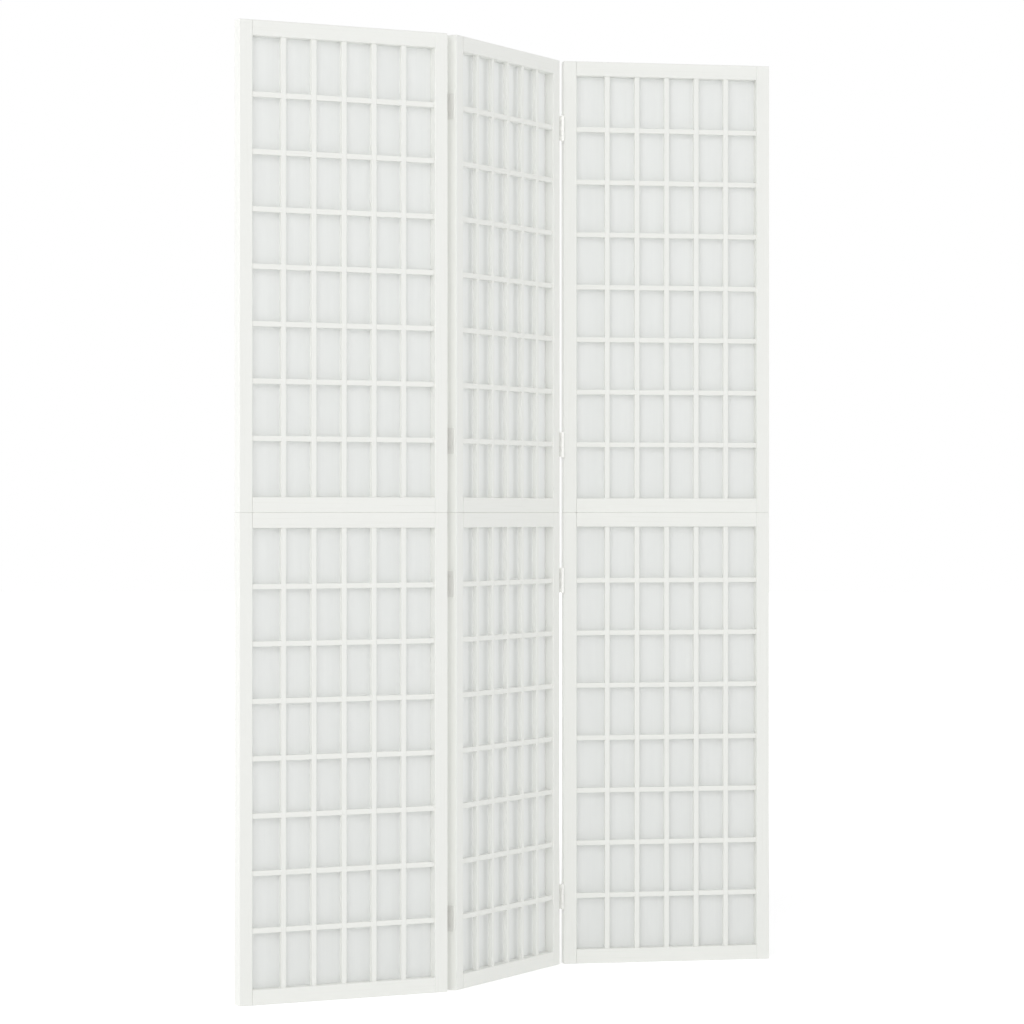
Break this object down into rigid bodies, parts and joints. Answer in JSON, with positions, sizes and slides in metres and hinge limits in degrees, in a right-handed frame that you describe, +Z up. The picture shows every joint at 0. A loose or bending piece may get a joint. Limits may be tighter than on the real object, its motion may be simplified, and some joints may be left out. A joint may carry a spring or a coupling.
{
  "type": "folding screen",
  "caption": "Free-standing folding lattice screen: framed panels of half-lapped bars over stretched fabric, hinged edge to edge to stand in a zigzag or fold flat.",
  "frame": {"origin": "on the floor, under the middle of the screen's bounding box as it stands in the zigzag of its rest pose", "axes": "+Z up, +X along the row of panels from the left one to the right one as seen from the lattice side, +Y from the lattice side to the back"},
  "size_m": [0.9684, 0.6568, 1.7],
  "materials": {
    "painted_wood": "white satin paint",
    "dowel_wood": "bare",
    "fabric": "plain white weave",
    "steel": "satin zinc plate"
  },
  "bodies": {
    "left_panel": {"left_beads": "painted_wood", "left_dowels": "dowel_wood", "left_fold_left_leaves": "steel", "left_joining_plates": "steel", "left_lower_bottom_rail": "painted_wood", "left_lower_cross_bars": "painted_wood", "left_lower_fabric": "fabric", "left_lower_left_stile": "painted_wood", "left_lower_right_stile": "painted_wood", "left_lower_top_rail": "painted_wood", "left_lower_upright_bars": "painted_wood", "left_screws": "steel", "left_upper_bottom_rail": "painted_wood", "left_upper_cross_bars": "painted_wood", "left_upper_fabric": "fabric", "left_upper_left_stile": "painted_wood", "left_upper_right_stile": "painted_wood", "left_upper_top_rail": "painted_wood", "left_upper_upright_bars": "painted_wood"},
    "middle_panel": {"left_fold_middle_leaves": "steel", "left_fold_pins": "steel", "middle_beads": "painted_wood", "middle_dowels": "dowel_wood", "middle_joining_plates": "steel", "middle_lower_bottom_rail": "painted_wood", "middle_lower_cross_bars": "painted_wood", "middle_lower_fabric": "fabric", "middle_lower_left_stile": "painted_wood", "middle_lower_right_stile": "painted_wood", "middle_lower_top_rail": "painted_wood", "middle_lower_upright_bars": "painted_wood", "middle_screws": "steel", "middle_upper_bottom_rail": "painted_wood", "middle_upper_cross_bars": "painted_wood", "middle_upper_fabric": "fabric", "middle_upper_left_stile": "painted_wood", "middle_upper_right_stile": "painted_wood", "middle_upper_top_rail": "painted_wood", "middle_upper_upright_bars": "painted_wood", "right_fold_middle_leaves": "steel", "right_fold_pins": "steel"},
    "right_panel": {"right_beads": "painted_wood", "right_dowels": "dowel_wood", "right_fold_right_leaves": "steel", "right_joining_plates": "steel", "right_lower_bottom_rail": "painted_wood", "right_lower_cross_bars": "painted_wood", "right_lower_fabric": "fabric", "right_lower_left_stile": "painted_wood", "right_lower_right_stile": "painted_wood", "right_lower_top_rail": "painted_wood", "right_lower_upright_bars": "painted_wood", "right_screws": "steel", "right_upper_bottom_rail": "painted_wood", "right_upper_cross_bars": "painted_wood", "right_upper_fabric": "fabric", "right_upper_left_stile": "painted_wood", "right_upper_right_stile": "painted_wood", "right_upper_top_rail": "painted_wood", "right_upper_upright_bars": "painted_wood"}
  },
  "joints": [
    {"name": "left_fold", "type": "hinge", "parent": "middle_panel", "child": "left_panel", "pos_m": [-0.1281, -0.12063, 0], "axis": [0, 0, -1], "range_deg": [-34.5, 145.5]},
    {"name": "right_fold", "type": "hinge", "parent": "middle_panel", "child": "right_panel", "pos_m": [0.08918, 0.22474, 0], "axis": [0, 0, -1], "range_deg": [-50.8, 129.2]}
  ]
}
